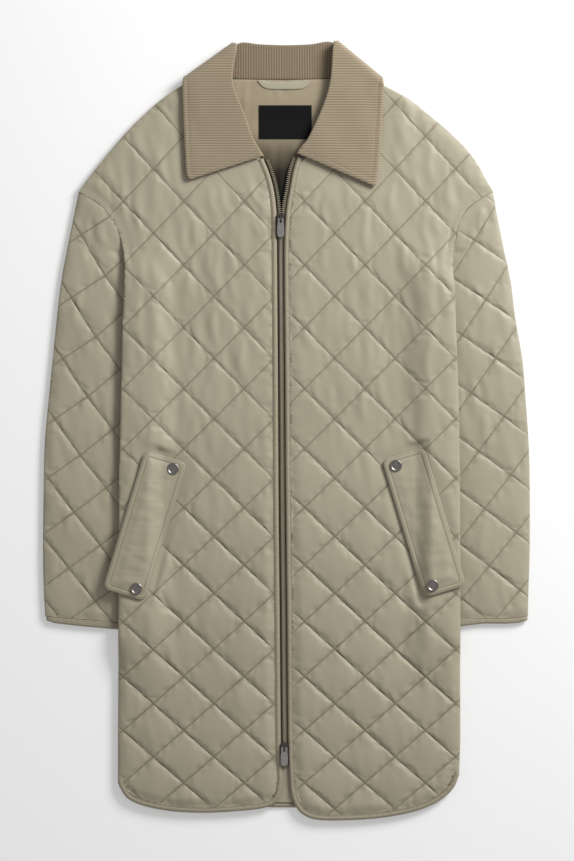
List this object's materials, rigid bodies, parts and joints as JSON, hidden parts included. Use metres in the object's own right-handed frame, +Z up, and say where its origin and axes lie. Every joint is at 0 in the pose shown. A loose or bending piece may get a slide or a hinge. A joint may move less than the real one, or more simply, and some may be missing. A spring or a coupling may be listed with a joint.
{
  "type": "quilted jacket",
  "caption": "Long padded jacket with diamond quilting, corduroy collar, two-way zip, bound edges and slanted pockets with snap flaps, laid flat on its back",
  "frame": {"origin": "middle of the bounding box in plan, on the surface that the jacket lies on", "axes": "+X to the right as seen from above, +Y along the jacket towards the collar, +Z up from the surface"},
  "size_m": [0.6097, 0.9766, 0.0242],
  "materials": {
    "quilt_cloth": "soft satin padded cloth, khaki",
    "corduroy": "matt ribbed pile, warm beige",
    "binding_cloth": "plain tape, warm khaki",
    "lining_cloth": "smooth light lining",
    "zip_tape": "woven tape with teeth of the same colour",
    "label_cloth": "bare matt black",
    "gunmetal": "satin gunmetal"
  },
  "bodies": {
    "jacket": {"back": "quilt_cloth", "front_left": "quilt_cloth", "front_right": "quilt_cloth", "sleeve_left_upper": "quilt_cloth", "sleeve_left_under": "quilt_cloth", "sleeve_right_upper": "quilt_cloth", "sleeve_right_under": "quilt_cloth", "front_binding_left": "binding_cloth", "front_binding_right": "binding_cloth", "back_hem_binding": "binding_cloth", "cuff_binding_left": "binding_cloth", "cuff_binding_right": "binding_cloth", "zip_tape_left": "zip_tape", "zip_tape_right": "zip_tape", "back_lining": "lining_cloth", "neck_label": "label_cloth", "hanger_loop": "quilt_cloth", "collar_fall": "corduroy", "collar_stand": "corduroy", "pocket_flap_left": "quilt_cloth", "pocket_flap_right": "quilt_cloth", "snap_left_upper": "gunmetal", "snap_left_lower": "gunmetal", "snap_right_upper": "gunmetal", "snap_right_lower": "gunmetal", "slider_top": "gunmetal", "slider_bottom": "gunmetal"},
    "top_tab": {"pull_tab_top": "gunmetal"},
    "bottom_tab": {"pull_tab_bottom": "gunmetal"}
  },
  "joints": [
    {"name": "top_tab_hinge", "type": "hinge", "parent": "jacket", "child": "top_tab", "pos_m": [-0.0072, 0.265, 0.0136], "axis": [-1, 0, 0], "range_deg": [0, 165]},
    {"name": "bottom_tab_hinge", "type": "hinge", "parent": "jacket", "child": "bottom_tab", "pos_m": [-0.0027, -0.396, 0.0136], "axis": [-1, 0, 0], "range_deg": [0, 165]}
  ]
}
